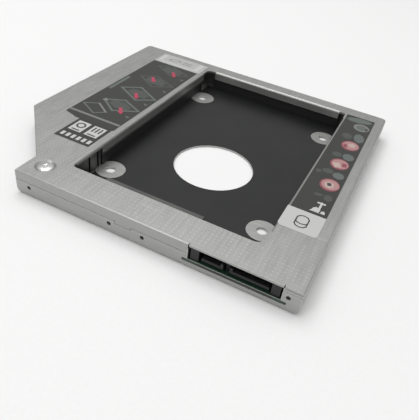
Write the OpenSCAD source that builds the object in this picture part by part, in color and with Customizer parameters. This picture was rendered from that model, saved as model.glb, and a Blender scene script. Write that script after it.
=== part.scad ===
// Empty caddy that holds a 2.5-inch SATA drive in a 9.5 mm slimline optical-drive bay.
// X runs across the body, Y from the rear (connector) edge to the front (bezel) edge, Z up.
// Modules measure Y from the rear edge, and in_frame() puts the origin at the middle of the base.

/* [Body] */
// Overall width
body_w = 128; // [127:0.1:129]
// Overall depth, from the rear edge to the bezel edge
body_d = 126.1; // [125.5:0.1:127]
// Overall height, labels included
body_h = 9.5; // [9.5:0.1:9.7]
// Thickness of the aluminium sheet
sheet = 0.8; // [0.7:0.05:0.8]
// Width that the cut corner takes off the rear edge
cut_w = 25.3; // [24:0.1:26]
// Distance from the rear edge to where the slanted cut starts
cut_near = 10.3; // [10.3:0.1:12]
// Distance from the rear edge to where the slanted cut ends
cut_far = 37.8; // [36:0.1:40]
// Height of the wing's underside above the base
wing_lift = 3.2; // [3:0.1:3.4]
// Plan radius of the two front corners
front_r = 2; // [1.2:0.1:3]
// Bend radius along the tray's right and left lower edges
side_bend_r = 2.4; // [1.2:0.1:2.6]
// Bend radius along the tray's rear and front lower edges
end_bend_r = 1.2; // [1:0.1:1.6]

/* [Window] */
// Left edge of the drive window
window_left = -24.85; // [-25:0.05:-24.8]
// Right edge of the drive window
window_right = 46.3; // [46.1:0.05:46.5]
// Rear edge of the drive window
window_rear = 12.5; // [12:0.1:13]
// Front edge of the drive window
window_front = 118.9; // [118.5:0.1:119.2]
// Height at which the deep inner flanges end
inner_flange_z = 5.7; // [5.6:0.1:6]

/* [Seams] */
// Top of the tray's side walls
wall_top = 7.6; // [7.4:0.1:7.6]
// Top of the tray's wall along the left part of the rear edge
rear_wall_top = 5.65; // [5.5:0.05:5.7]
// Gap between the tray's walls and the cover's flange
seam_gap = 0.2; // [0.1:0.05:0.25]

/* [Drive bay] */
// Centre line of the drive
drive_x = 10.64; // [10.6:0.01:10.7]
// Distance between the drive's bottom screw holes, across
pad_spacing_x = 61.72; // [61.72:0.01:61.72]
// Distance between the drive's bottom screw holes, along
pad_spacing_y = 76.6; // [76.6:0.1:76.6]
// Distance from the rear edge to the rear screw holes
pad_rear_y = 28.4; // [28:0.1:29]
// Radius of the round pads that the drive rests on
pad_r = 5.5; // [5:0.1:5.6]
// Height of the pads' faces above the base
pad_top = 1.1; // [1.1:0.1:1.3]
// Radius of the clearance hole in each pad
pad_hole_r = 2; // [1.7:0.05:2.1]
// Radius of the large hole in the floor
centre_hole_r = 15.8; // [15:0.1:16]
// Distance from the rear edge to the large hole's centre
centre_hole_y = 54; // [52:0.5:55]
// Width between the guide rails
bay_w = 70.3; // [70.1:0.1:70.3]

/* [Connectors] */
// Left edge of the host plug's opening
port_left = 27.5; // [27.3:0.1:27.6]
// Right edge of the host plug's opening
port_right = 58; // [57.9:0.1:58.2]
// Top of the lip under the host plug's opening
lip_top = 2.3; // [2.2:0.1:2.3]
// Underside of the adapter board
board_z = 2.4; // [2.4:0.05:2.5]
// Thickness of the adapter board
board_t = 1; // [0.8:0.1:1]
// Radius of the M2 threaded holes
thread_r = 0.8; // [0.8:0.01:0.82]
// Height of the rear threaded holes above the base
rear_hole_z = 3.8; // [3.6:0.1:3.9]
// Height of the rightmost rear threaded hole above the base
right_hole_z = 5.5; // [5.3:0.1:5.6]

/* [Hidden] */

$fn = 48;
slack = 1; // how far a cutter runs past the face it opens
half_w = body_w / 2;
step_x = -half_w + cut_w; // the left wall of the full-height body
label_t = 0.1;
plate_top = body_h - label_t;
plate_z = plate_top - sheet; // underside of the cover's plate
rear_hole_x = [-33.3, -1, 11.4];
right_hole_x = 60;
collar_r = 1.6;
collar_depth = 2; // the wall and its drawn collar together
rear_flange_right = 27.3; // where the cover's rear flange ends
film_t = 0.2;
board_top = board_z + board_t;
rail_t = 1.7;
rail_top = 5.5;
rear_post_at = [-32, 7.3];
cover_post_at = [[59, 20, 0], [59, 119, 0], [-57, 119, wing_lift]];
post_r = 2.4;
board_screw_at = [[-15.2, 5.4], [57.2, 9.4]];

// Outline of the body, counter-clockwise from the rear edge's left end.
outline = [
    [step_x, 0], [half_w, 0], [half_w, body_d],
    [-half_w, body_d], [-half_w, cut_far], [step_x, cut_near]
];

function inward(a, b) = [a[1] - b[1], b[0] - a[0]] / norm(b - a);

// A corner moved inwards so that both of its edges move by t.
function inset_corner(p, i, t) =
    let(n = len(p), before = inward(p[(i + n - 1) % n], p[i]), after = inward(p[i], p[(i + 1) % n]))
    p[i] + t * (before + after) / (1 + before * after);

function inset_outline(t) = [for (i = [0:len(outline) - 1]) inset_corner(outline, i, t)];

module in_frame() {
    translate([0, -body_d / 2, 0]) children();
}

// A box from its two opposite corners.
module block(low, high) {
    translate(low) cube(high - low);
}

// A rectangle from its two opposite corners.
module area(low, high) {
    translate(low) square(high - low);
}

// The body's plan, moved in by t all round, with its front corners rounded.
module plan(t) {
    intersection() {
        polygon(inset_outline(t));
        union() {
            area([-half_w, -slack], [half_w, body_d - front_r]);
            area([front_r - half_w, -slack], [half_w - front_r, body_d]);
            for (side = [-1, 1]) {
                translate([side * (half_w - front_r), body_d - front_r]) circle(front_r - t);
            }
        }
    }
}

// A section with its two lower corners rounded, from x0 to x1 and from z0 to z1.
module bent_section(x0, x1, z0, z1, r) {
    area([x0 + r, z0], [x1 - r, z1]);
    area([x0, z0 + r], [x1, z1]);
    for (x = [x0 + r, x1 - r]) {
        translate([x, z0 + r]) circle(r);
    }
}

// The tray's outer shape, moved in by t, up to z = top.
module tray_form(t, top) {
    intersection() {
        linear_extrude(top) plan(t);
        translate([0, body_d, 0]) rotate([90, 0, 0]) linear_extrude(body_d) {
            bent_section(step_x + t, half_w - t, t, top, side_bend_r - t);
            area([t - half_w, wing_lift + t], [step_x + side_bend_r, top]);
        }
        translate([-half_w, 0, 0]) rotate([90, 0, 90]) linear_extrude(body_w)
            bent_section(t, body_d - t, t, top, end_bend_r - t);
    }
}

// A straight hole through a wall that faces Y, from y0 to y1.
module hole_along_y(x, z, r, y0, y1) {
    translate([x, y1, z]) rotate([90, 0, 0]) cylinder(h = y1 - y0, r = r);
}

// Runs its children at each of the four drive pads.
module at_pads() {
    for (x = [-0.5, 0.5], y = [0, 1]) {
        translate([drive_x + x * pad_spacing_x, pad_rear_y + y * pad_spacing_y, 0]) children();
    }
}

// The stretch of the rear wall, up to the cut corner, where the cover's flange is deep.
module deep_flange_zone(low, high) {
    block([step_x - slack, -slack, low], [rear_flange_right, cut_near, high]);
}

/* Tray */

pad_recess_r = pad_r - 0.8;
bezel_slot_x = [-50, 4, 50];
bezel_hole_x = [-30, 34];
bezel_hole_z = 4.4;
screw_head_r = 1.8;
screw_head_h = 0.4;
screw_shank_r = 0.95;
tab_left = 1.3; // the locating tab on the cover's rear flange
tab_right = 7.2;
tab_z = 4.9;

module tray_shell() {
    difference() {
        tray_form(0, wall_top);
        tray_form(sheet, wall_top + slack);
        deep_flange_zone(rear_wall_top, wall_top + slack);
        block([tab_left - seam_gap, -slack, tab_z - seam_gap], [tab_right + seam_gap, sheet, wall_top]);
    }
    block([port_right, 0, wall_top - sheet], [half_w, sheet, plate_z - seam_gap]);
    // Lap that stands behind the cover's rear flange
    block([step_x + 2 * sheet, sheet, rear_wall_top - sheet], [rear_flange_right - sheet, 1.4, plate_z]);
    at_pads() cylinder(h = pad_top, r = pad_r);
    for (x = rear_hole_x) {
        hole_along_y(x, rear_hole_z, collar_r, sheet / 2, collar_depth);
    }
    hole_along_y(right_hole_x, right_hole_z, collar_r, sheet / 2, collar_depth);
    for (x = bezel_hole_x) {
        hole_along_y(x, bezel_hole_z, collar_r, body_d - collar_depth, body_d - sheet / 2);
    }
}

module base_tray() {
    color("silver") in_frame() difference() {
        tray_shell();
        translate([drive_x, centre_hole_y, -slack]) cylinder(h = 2 * slack + sheet, r = centre_hole_r);
        at_pads() {
            translate([0, 0, -slack]) cylinder(h = slack + pad_top - sheet, r = pad_recess_r);
            translate([0, 0, -slack]) cylinder(h = 2 * slack + pad_top, r = pad_hole_r);
        }
        // Opening for the host plug, and the slots for the board's ears
        block([port_left, -slack, lip_top], [port_right, 1.5, body_h]);
        block([port_left - 1.8, -slack, lip_top], [port_right + 1.8, sheet + 0.1, board_top + 0.1]);
        // Scored line above the rightmost threaded hole
        block([port_right - slack, -slack, 7.4], [half_w + slack, 0.15, 7.55]);
        for (x = rear_hole_x) {
            hole_along_y(x, rear_hole_z, thread_r, -slack, collar_depth + slack);
        }
        hole_along_y(right_hole_x, right_hole_z, thread_r, -slack, collar_depth + slack);
        for (x = bezel_hole_x) {
            hole_along_y(x, bezel_hole_z, thread_r, body_d - collar_depth - slack, body_d + slack);
        }
        for (x = bezel_slot_x) {
            block([x - 3, body_d - 1.5, 4.6], [x + 3, body_d + slack, 6.2]);
        }
        for (p = cover_post_at) {
            translate([p[0], p[1], p[2] - slack]) {
                cylinder(h = slack + screw_head_h, r = screw_head_r + 0.1);
                cylinder(h = 2 * slack + sheet, r = screw_shank_r + 0.1);
            }
        }
    }
}

/* Cover */

dimple_floor_r = 2.9;
dimple_top_r = 3.7;
dimple_drop = 0.8;
window_radii = [1.6, 3.2, 1.2, 2.4]; // rear left, rear right, front right, front left
window_bend_r = 1;
left_flange_y = [15, 114];
deep_from_y = 30; // where the left flange gets its full depth
right_flange_y = [20, 114];
front_flange_x = [window_left + 4, window_right - 3];

// What a rounded corner of radius r leaves over, with the corner at the origin.
module corner_waste(r) {
    difference() {
        translate([-slack, -slack]) square(r + slack);
        translate([r, r]) circle(r);
    }
}

module window_plan() {
    corners = [
        [window_left, window_rear], [window_right, window_rear],
        [window_right, window_front], [window_left, window_front]
    ];
    difference() {
        area(corners[0], corners[2]);
        for (i = [0:3]) {
            translate(corners[i]) rotate(90 * i) corner_waste(window_radii[i]);
        }
    }
}

module outer_flanges() {
    difference() {
        linear_extrude(plate_top) difference() {
            plan(0);
            plan(sheet);
        }
        block([-body_w, -slack, -slack], [body_w, body_d + slack, rear_wall_top + seam_gap]);
        difference() {
            block([-body_w, -slack, -slack], [body_w, body_d + slack, wall_top + seam_gap]);
            deep_flange_zone(-slack, wall_top + seam_gap);
        }
        block([rear_flange_right, -slack, -slack], [body_w, sheet, body_h]);
    }
    block([tab_left, 0, tab_z], [tab_right, sheet, plate_z]);
}

module inner_flanges() {
    block([window_left - sheet, deep_from_y, inner_flange_z], [window_left, left_flange_y[1], plate_z]);
    block([window_left - sheet, left_flange_y[0], plate_z - 0.6], [window_left, deep_from_y, plate_z]);
    block([window_right, right_flange_y[0], inner_flange_z], [window_right + sheet, right_flange_y[1], plate_z]);
    block([front_flange_x[0], window_front, inner_flange_z], [front_flange_x[1], window_front + sheet, plate_z]);
}

// What a rounded bend takes off an edge that runs along +Y, with the sheet at +X and -Z.
module bend_waste(length) {
    rotate([90, 0, 0]) translate([0, 0, -length]) linear_extrude(length)
        rotate(-90) corner_waste(window_bend_r);
}

module window_bends() {
    translate([window_left, left_flange_y[1], plate_top])
        rotate(180) bend_waste(left_flange_y[1] - left_flange_y[0]);
    translate([window_right, right_flange_y[0], plate_top])
        bend_waste(right_flange_y[1] - right_flange_y[0]);
    translate([front_flange_x[1], window_front, plate_top])
        rotate(90) bend_waste(front_flange_x[1] - front_flange_x[0]);
}

module top_cover() {
    color("lightgray") in_frame() difference() {
        union() {
            translate([0, 0, plate_z]) linear_extrude(sheet) difference() {
                plan(0);
                window_plan();
            }
            outer_flanges();
            inner_flanges();
            translate([rear_post_at[0], rear_post_at[1], plate_z - dimple_drop])
                cylinder(h = dimple_drop, r1 = dimple_floor_r + 0.8, r2 = dimple_top_r + 0.6);
        }
        translate([rear_post_at[0], rear_post_at[1], plate_z])
            cylinder(h = 2 * sheet, r1 = dimple_floor_r, r2 = 2 * dimple_top_r - dimple_floor_r);
        translate([rear_post_at[0], rear_post_at[1], 0]) cylinder(h = body_h, r = screw_shank_r + 0.1);
        window_bends();
        // Relief cuts at both ends of the host plug's opening
        for (x = [rear_flange_right, port_right - 0.1]) {
            block([x, -slack, 0], [x + 0.4, sheet + 0.1, body_h]);
        }
    }
}

/* Floor film */

module floor_film() {
    color("black") in_frame() difference() {
        block([drive_x - bay_w / 2 + 0.1, 9.2, sheet], [drive_x + bay_w / 2 - 0.1, 119.6, sheet + film_t]);
        at_pads() cylinder(h = body_h, r = pad_r + 0.1);
        translate([drive_x, centre_hole_y, 0]) cylinder(h = body_h, r = centre_hole_r + 0.1);
    }
}

/* Adapter board */

board_hole_r = 1.1;
board_screw_r = 0.8;

module adapter_board() {
    color("darkgreen") in_frame() difference() {
        union() {
            block([port_left - 1.6, 0, board_z], [port_right + 1.6, 11.5, board_top]);
            block([-18.5, 2.4, board_z], [port_left - 1.6, 8.6, board_top]);
        }
        for (p = board_screw_at) {
            translate([p[0], p[1], 0]) cylinder(h = body_h, r = board_hole_r);
        }
    }
}

module board_standoffs() {
    color("darkkhaki") in_frame() for (p = board_screw_at) {
        translate([p[0], p[1], sheet]) difference() {
            cylinder(h = board_z - sheet, r = 2);
            cylinder(h = board_z, r = board_screw_r + 0.05);
        }
    }
}

module board_screws() {
    color("gainsboro") in_frame() for (p = board_screw_at) {
        translate([p[0], p[1], 0]) {
            translate([0, 0, sheet + 0.1]) cylinder(h = board_top - sheet, r = board_screw_r);
            difference() {
                translate([0, 0, board_top]) cylinder(h = 0.9, r = 1.7);
                for (turn = [0, 90]) {
                    rotate(turn) block([-1, -0.2, board_top + 0.4], [1, 0.2, board_top + slack]);
                }
            }
        }
    }
}

// A surface-mount chip: its body's size, and the middle of its underside.
module chip(size, at) {
    translate([at[0] - size[0] / 2, at[1] - size[1] / 2, board_top]) cube(size);
}

module board_capacitors() {
    color("tan") in_frame() {
        for (x = [-9, -6, 3, 6]) {
            chip([2, 1.25, 0.9], [x, 4.4]);
        }
        for (x = [14, 18.5]) {
            chip([3.2, 1.6, 1.2], [x, 4.4]);
        }
    }
}

module board_resistors() {
    color("dimgray") in_frame() for (x = [-3, -0.5, 9, 11]) {
        chip([1, 1.6, 0.45], [x, 4.4]);
    }
}

/* Host plug */

plug_left = port_left + 0.7;
plug_right = port_right - 0.6;
plug_top = plate_z - 0.4;
post_w = 2.8;
plug_back = 8.2;
tongue_front = 0.9;
tongue_back = 6.5; // where the tongues join the plug's back wall
tongue_z = 4.3;
tongue_top = 5.35;
key_top = 6.4;
key_w = 0.9;
power_tongue = [31.9, 39];
signal_tongue = [41.2, 53.9];
pin_t = 0.1;
// First contact's left side, count, pitch and contact width
power_row = [32.3, 6, 1, 0.6];
signal_row = [44, 7, 1.27, 0.8];

module plug_body() {
    for (x = [plug_left, plug_right - post_w]) {
        block([x, 0.6, board_top], [x + post_w, tongue_back, plug_top]);
    }
    block([plug_left, tongue_back, board_top], [plug_right, plug_back, plug_top]);
    block([plug_left, 2.4, plug_top - 0.8], [plug_right, tongue_back, plug_top]);
    block([39.5, 2.4, board_top], [40.7, tongue_back, plug_top]);
    for (t = [power_tongue, signal_tongue]) {
        block([t[0], tongue_front, tongue_z], [t[1], tongue_back, tongue_top]);
    }
    block([power_tongue[1] - key_w, tongue_front, tongue_top], [power_tongue[1], tongue_back, key_top]);
    block([signal_tongue[0], tongue_front, tongue_top], [signal_tongue[0] + key_w, tongue_back, key_top]);
}

// The straight strips of a row of contacts, which lie against a tongue's underside.
module contact_strips(row, from_y) {
    for (i = [0:row[1] - 1]) {
        x = row[0] + i * row[2];
        block([x, from_y, tongue_z - pin_t], [x + row[3], plug_back, tongue_z]);
    }
}

// A row of contacts with their tails, which step down behind the plug to the board.
module plug_contacts(row) {
    contact_strips(row, tongue_front + 0.2);
    for (i = [0:row[1] - 1]) {
        x = row[0] + i * row[2];
        block([x, plug_back, board_top], [x + row[3], plug_back + 0.2, tongue_z]);
        block([x, plug_back + 0.2, board_top], [x + row[3], plug_back + 1.2, board_top + pin_t]);
    }
}

module host_plug_housing() {
    color("black") in_frame() difference() {
        plug_body();
        contact_strips(power_row, tongue_back);
        contact_strips(signal_row, tongue_back);
    }
}

module host_plug_power_contacts() {
    color("gold") in_frame() plug_contacts(power_row);
}

module host_plug_signal_contacts() {
    color("gold") in_frame() plug_contacts(signal_row);
}

/* Drive socket */

socket_left = -13.1;
socket_right = 24.6;
socket_rear = 8.6;
socket_front = 16.9;
socket_z = 2.5;
socket_top = 7;
slot_back = 10.5;
slot_z = 4.3;
slot_top = 5.6;
power_slot = [-10.6, 10.2];
signal_slot = [12, 22.3];
finger_w = 0.5;
finger_t = 0.2;
pin_pitch = 1.27;

// First pin's left side, so that count pins stand in the middle of a slot.
function first_pin(slot, count) = (slot[0] + slot[1] - (count - 1) * pin_pitch - finger_w) / 2;

module socket_pins(slot, count) {
    for (i = [0:count - 1]) {
        x = first_pin(slot, count) + i * pin_pitch;
        block([x, socket_rear, slot_top - finger_t], [x + finger_w, socket_front - 0.6, slot_top]);
        block([x, socket_rear - 0.4, board_top], [x + finger_w, socket_rear, slot_top]);
        block([x, socket_rear - 1.8, board_top], [x + finger_w, socket_rear - 0.4, board_top + finger_t]);
    }
}

module socket_channels(slot, count) {
    for (i = [0:count - 1]) {
        x = first_pin(slot, count) + i * pin_pitch;
        block([x, socket_rear - slack, slot_top - finger_t], [x + finger_w, slot_back + slack, slot_top]);
    }
}

module drive_socket_housing() {
    color("dimgray") in_frame() difference() {
        block([socket_left, socket_rear, socket_z], [socket_right, socket_front, socket_top]);
        for (s = [power_slot, signal_slot]) {
            block([s[0], slot_back, slot_z], [s[1], socket_front + slack, slot_top]);
        }
        // Key legs that let the connector in one way round only
        block([power_slot[1] - 1.1, slot_back, slot_z - 1.1], [power_slot[1], socket_front + slack, slot_top]);
        block([signal_slot[0], slot_back, slot_z - 1.1], [signal_slot[0] + 1.1, socket_front + slack, slot_top]);
        socket_channels(power_slot, 15);
        socket_channels(signal_slot, 7);
    }
}

module drive_socket_power_contacts() {
    color("gold") in_frame() socket_pins(power_slot, 15);
}

module drive_socket_signal_contacts() {
    color("gold") in_frame() socket_pins(signal_slot, 7);
}

/* Guides */

// A rail whose inner face is at x, standing off to the side given by sign.
module guide_rail(x, sign, rear) {
    difference() {
        block([min(x, x + sign * rail_t), rear, sheet], [max(x, x + sign * rail_t), 112, rail_top]);
        at_pads() cylinder(h = pad_top + 0.1, r = pad_r + 0.1);
        // Lightening pockets in the outer face
        for (y = [44:14:100]) {
            block([x + sign * rail_t - 0.8, y, 2], [x + sign * rail_t + 0.8, y + 10, rail_top - 1.2]);
        }
    }
}

module left_guide_rail() {
    color("black") in_frame() guide_rail(drive_x - bay_w / 2, -1, 29.2);
}

module right_guide_rail() {
    color("black") in_frame() guide_rail(drive_x + bay_w / 2, 1, 20);
}

module front_stop_bar() {
    color("black") in_frame() block([window_left + 2.8, 119.8, sheet], [window_right - 2.3, 121.6, rail_top]);
}

module rear_corner_bracket() {
    color("gray") in_frame() difference() {
        block([window_left - 1.9, 14.2, sheet], [window_left, 28.6, plate_z - 0.7]);
        for (y = [21.4, 26.4]) {
            block([window_left - 0.6, y, sheet - slack], [window_left + slack, y + 1, body_h]);
        }
        at_pads() cylinder(h = pad_top + 0.1, r = pad_r + 0.1);
    }
}

/* Posts and screws */

module rear_left_post() {
    color("darkgray") in_frame() translate([rear_post_at[0], rear_post_at[1], sheet]) difference() {
        cylinder(h = plate_z - dimple_drop - sheet, r = post_r);
        translate([0, 0, 3]) cylinder(h = body_h, r = screw_shank_r + 0.05);
    }
}

module cover_posts() {
    color("darkgray") in_frame() for (p = cover_post_at) {
        base = p[2] + sheet;
        translate([p[0], p[1], base]) difference() {
            cylinder(h = plate_z - base, r = post_r);
            translate([0, 0, -slack]) cylinder(h = slack + 3.2, r = screw_shank_r + 0.05);
        }
    }
}

module cover_screws_bottom() {
    color("gainsboro") in_frame() for (p = cover_post_at) {
        translate(p) difference() {
            union() {
                cylinder(h = screw_head_h, r = screw_head_r);
                cylinder(h = sheet + 2.8, r = screw_shank_r);
            }
            for (turn = [0, 90]) {
                rotate(turn) block([-1.1, -0.2, -slack], [1.1, 0.2, 0.25]);
            }
        }
    }
}

pan_r = 2.75;
pan_rim = 0.4; // height of the head's straight side
pan_h = 0.9;
dome_h = pan_h - pan_rim;
dome_r = (pan_r * pan_r + dome_h * dome_h) / (2 * dome_h);

module cover_screw_rear_left() {
    color("white") in_frame() translate([rear_post_at[0], rear_post_at[1], plate_z]) {
        translate([0, 0, -3.5]) cylinder(h = 3.5, r = screw_shank_r);
        difference() {
            intersection() {
                cylinder(h = pan_h, r = pan_r);
                translate([0, 0, pan_h - dome_r]) sphere(dome_r);
            }
            for (turn = [20, 110]) {
                rotate(turn) block([-1.5, -0.35, 0.4], [1.5, 0.35, pan_h + slack]);
            }
        }
    }
}

/* Labels */

// A label of the given plan, lying on the cover's plate.
module label_sheet() {
    in_frame() translate([0, 0, plate_top]) linear_extrude(label_t) children();
}

module instruction_label() {
    color("dimgray") label_sheet() {
        polygon([[-51.5, 42.3], [-48, 41.4], [-45.5, 40.5], [-27.4, 40.5], [-27.4, 122], [-51.5, 122]]);
        area([-28, 110.8], [-26.3, 121.6]);
    }
}

module procedure_label() {
    color("dimgray") label_sheet() difference() {
        union() {
            area([47.2, 24.7], [60, 118.9]);
            area([46.4, 24.7], [60, 36.4]);
        }
        translate([46.4, 24.7]) corner_waste(1.5);
        translate([60, 24.7]) rotate(90) corner_waste(1.5);
    }
}

module symbol_patch() {
    color("dimgray") label_sheet() area([-43.4, 25.4], [-28, 40.4]);
}

base_tray();
top_cover();
floor_film();
adapter_board();
board_standoffs();
board_screws();
board_capacitors();
board_resistors();
host_plug_housing();
host_plug_power_contacts();
host_plug_signal_contacts();
drive_socket_housing();
drive_socket_power_contacts();
drive_socket_signal_contacts();
left_guide_rail();
right_guide_rail();
front_stop_bar();
rear_corner_bracket();
rear_left_post();
cover_screw_rear_left();
cover_posts();
cover_screws_bottom();
instruction_label();
procedure_label();
symbol_patch();
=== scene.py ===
import math

import bpy
from mathutils import Matrix, Vector
from mathutils.bvhtree import BVHTree


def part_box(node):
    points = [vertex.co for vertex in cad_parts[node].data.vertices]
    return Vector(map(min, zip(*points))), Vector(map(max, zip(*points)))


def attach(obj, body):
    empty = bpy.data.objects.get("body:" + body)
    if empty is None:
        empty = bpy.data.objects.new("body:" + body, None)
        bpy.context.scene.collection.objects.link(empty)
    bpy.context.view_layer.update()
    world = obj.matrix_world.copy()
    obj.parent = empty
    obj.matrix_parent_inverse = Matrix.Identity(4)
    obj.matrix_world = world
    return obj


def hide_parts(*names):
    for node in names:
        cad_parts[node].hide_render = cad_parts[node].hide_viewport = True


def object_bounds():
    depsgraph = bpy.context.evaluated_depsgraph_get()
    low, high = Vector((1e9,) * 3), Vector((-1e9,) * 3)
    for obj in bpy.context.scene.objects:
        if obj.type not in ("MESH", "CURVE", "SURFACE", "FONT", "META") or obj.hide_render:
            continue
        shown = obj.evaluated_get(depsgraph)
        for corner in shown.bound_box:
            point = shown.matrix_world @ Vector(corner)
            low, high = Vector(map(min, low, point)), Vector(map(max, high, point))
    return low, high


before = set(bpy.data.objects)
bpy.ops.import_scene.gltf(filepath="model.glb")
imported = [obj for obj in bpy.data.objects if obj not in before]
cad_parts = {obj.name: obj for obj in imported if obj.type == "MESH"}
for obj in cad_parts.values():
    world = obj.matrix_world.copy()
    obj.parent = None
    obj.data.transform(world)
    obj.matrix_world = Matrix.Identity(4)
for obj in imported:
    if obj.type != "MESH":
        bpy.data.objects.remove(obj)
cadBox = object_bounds()
print("frame loaded:", len(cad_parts), "nodes")

mm = 0.001
rearY = cadBox[0].y  # the connector edge, where the plan's own Y starts
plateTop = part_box("top_cover")[1].z
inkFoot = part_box("procedure_label")[1].z  # the labels' printed face
sheetCut = 0.07 * mm  # softening of every cut edge of the sheet metal


def at(x, y, z):
    # a point given in millimetres, with y counted from the connector edge
    return Vector((x * mm, rearY + y * mm, z * mm))


rearScrewPlace = at(-32, 7.3, 8.6)  # under the head of the one screw that shows


def activate(*pieces):
    if bpy.context.object and bpy.context.object.mode != "OBJECT":
        bpy.ops.object.mode_set(mode="OBJECT")
    bpy.ops.object.select_all(action="DESELECT")
    for piece in pieces:
        piece.select_set(True)
    bpy.context.view_layer.objects.active = pieces[0]


def editFaces(piece, wanted):
    # opens edit mode with only the wanted faces selected
    activate(piece)
    bpy.ops.object.mode_set(mode="EDIT")
    bpy.ops.mesh.select_mode(type="FACE")
    bpy.ops.mesh.select_all(action="DESELECT")
    bpy.ops.object.mode_set(mode="OBJECT")
    for face in piece.data.polygons:
        face.select = wanted(face)
    bpy.ops.object.mode_set(mode="EDIT")


def closeEdit():
    bpy.ops.object.mode_set(mode="OBJECT")


def applyModifier(piece, kind, **settings):
    activate(piece)
    modifier = piece.modifiers.new(kind.title(), kind)
    for key, value in settings.items():
        setattr(modifier, key, value)
    bpy.ops.object.modifier_apply(modifier=modifier.name)


def softenEdges(piece, width, sharperThan=40):
    limit = math.radians(sharperThan)
    applyModifier(piece, "BEVEL", width=width, segments=2, limit_method="ANGLE", angle_limit=limit)


def finishSurface(piece):
    activate(piece)
    bpy.ops.object.shade_smooth_by_angle(angle=math.radians(35))
    applyModifier(piece, "WEIGHTED_NORMAL", keep_sharp=True)


def settle(piece, name, slot, material, *nodes):
    # names a finished piece, gives it its finish and puts it on the body
    piece.name = name
    piece.data.name = name
    piece.data.materials.clear()
    piece.data.materials.append(material)
    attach(piece, "root")
    if nodes:
        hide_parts(*nodes)


def copyNode(node):
    # a merged copy of a CAD node, its flat faces made whole again
    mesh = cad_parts[node].data.copy()
    piece = bpy.data.objects.new(node + "_detailed", mesh)
    bpy.context.scene.collection.objects.link(piece)
    activate(piece)
    bpy.ops.mesh.customdata_custom_splitnormals_clear()
    bpy.ops.object.mode_set(mode="EDIT")
    bpy.ops.mesh.select_all(action="SELECT")
    bpy.ops.mesh.remove_doubles(threshold=0.002 * mm)
    bpy.ops.mesh.dissolve_limited(angle_limit=math.radians(1))
    closeEdit()
    return piece


def turned(name, centre, rings, segments=48):
    # a turned solid: a cylinder whose top is drawn up ring by ring, each ring (radius, height)
    (firstR, firstZ), (secondR, secondZ) = rings[:2]
    middle = (0, 0, (firstZ + secondZ) / 2)
    bpy.ops.object.select_all(action="DESELECT")
    bpy.ops.mesh.primitive_cylinder_add(
        vertices=segments, radius=firstR, depth=secondZ - firstZ, location=middle
    )
    piece = bpy.context.object
    piece.name = name
    bpy.ops.object.transform_apply(location=True, rotation=True, scale=True)
    editFaces(piece, lambda face: face.normal.z > 0.9)
    lastR, lastZ = firstR, secondZ
    for radius, height in rings[1:]:
        if height != lastZ:
            bpy.ops.mesh.extrude_region_move(TRANSFORM_OT_translate={"value": (0, 0, height - lastZ)})
        growth = radius / lastR
        bpy.ops.transform.resize(value=(growth, growth, 1), center_override=(0, 0, height))
        lastR, lastZ = radius, height
    closeEdit()
    piece.location = centre
    bpy.ops.object.transform_apply(location=True, rotation=True, scale=True)
    return piece


def joinPieces(pieces):
    activate(*pieces)
    if len(pieces) > 1:
        bpy.ops.object.join()
    return bpy.context.object


def addNode(tree, kind, **settings):
    node = tree.nodes.new(kind)
    for key, value in settings.items():
        setattr(node, key, value)
    return node


def join(tree, source, target):
    tree.links.new(source, target)


def startGroup(name, inputs, outputs):
    tree = bpy.data.node_groups.new(name, "ShaderNodeTree")
    for label, kind, value in inputs:
        socket = tree.interface.new_socket(name=label, in_out="INPUT", socket_type=kind)
        socket.default_value = value
    for label, kind in outputs:
        tree.interface.new_socket(name=label, in_out="OUTPUT", socket_type=kind)
    return tree, addNode(tree, "NodeGroupInput"), addNode(tree, "NodeGroupOutput")


def remap(tree, value, low, high, toLow=0.0, toHigh=1.0):
    node = addNode(tree, "ShaderNodeMapRange")
    join(tree, value, node.inputs["Value"])
    for label, number in (("From Min", low), ("From Max", high), ("To Min", toLow), ("To Max", toHigh)):
        node.inputs[label].default_value = number
    return node.outputs["Result"]


def calculate(tree, operation, first, second):
    node = addNode(tree, "ShaderNodeMath", operation=operation)
    for socket, value in zip(node.inputs, (first, second)):
        if isinstance(value, (int, float)):
            socket.default_value = value
        else:
            join(tree, value, socket)
    return node.outputs[0]


def makeFineGrain():
    # grain stretched along one axis or even all round, as a height and a light-to-dark tone
    tree, given, result = startGroup(
        "fineGrain",
        [
            ("Scale", "NodeSocketFloat", 2000.0),
            ("Stretch", "NodeSocketVector", (1.0, 1.0, 1.0)),
            ("Detail", "NodeSocketFloat", 3.0),
        ],
        [("Height", "NodeSocketFloat"), ("Tone", "NodeSocketFloat")],
    )
    place = addNode(tree, "ShaderNodeTexCoord")
    mapping = addNode(tree, "ShaderNodeMapping")
    noise = addNode(tree, "ShaderNodeTexNoise")
    noise.inputs["Roughness"].default_value = 0.6
    join(tree, place.outputs["Object"], mapping.inputs["Vector"])
    join(tree, given.outputs["Stretch"], mapping.inputs["Scale"])
    join(tree, mapping.outputs["Vector"], noise.inputs["Vector"])
    join(tree, given.outputs["Scale"], noise.inputs["Scale"])
    join(tree, given.outputs["Detail"], noise.inputs["Detail"])
    join(tree, noise.outputs["Fac"], result.inputs["Height"])
    join(tree, remap(tree, noise.outputs["Fac"], 0.3, 0.7), result.inputs["Tone"])
    return tree


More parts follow.
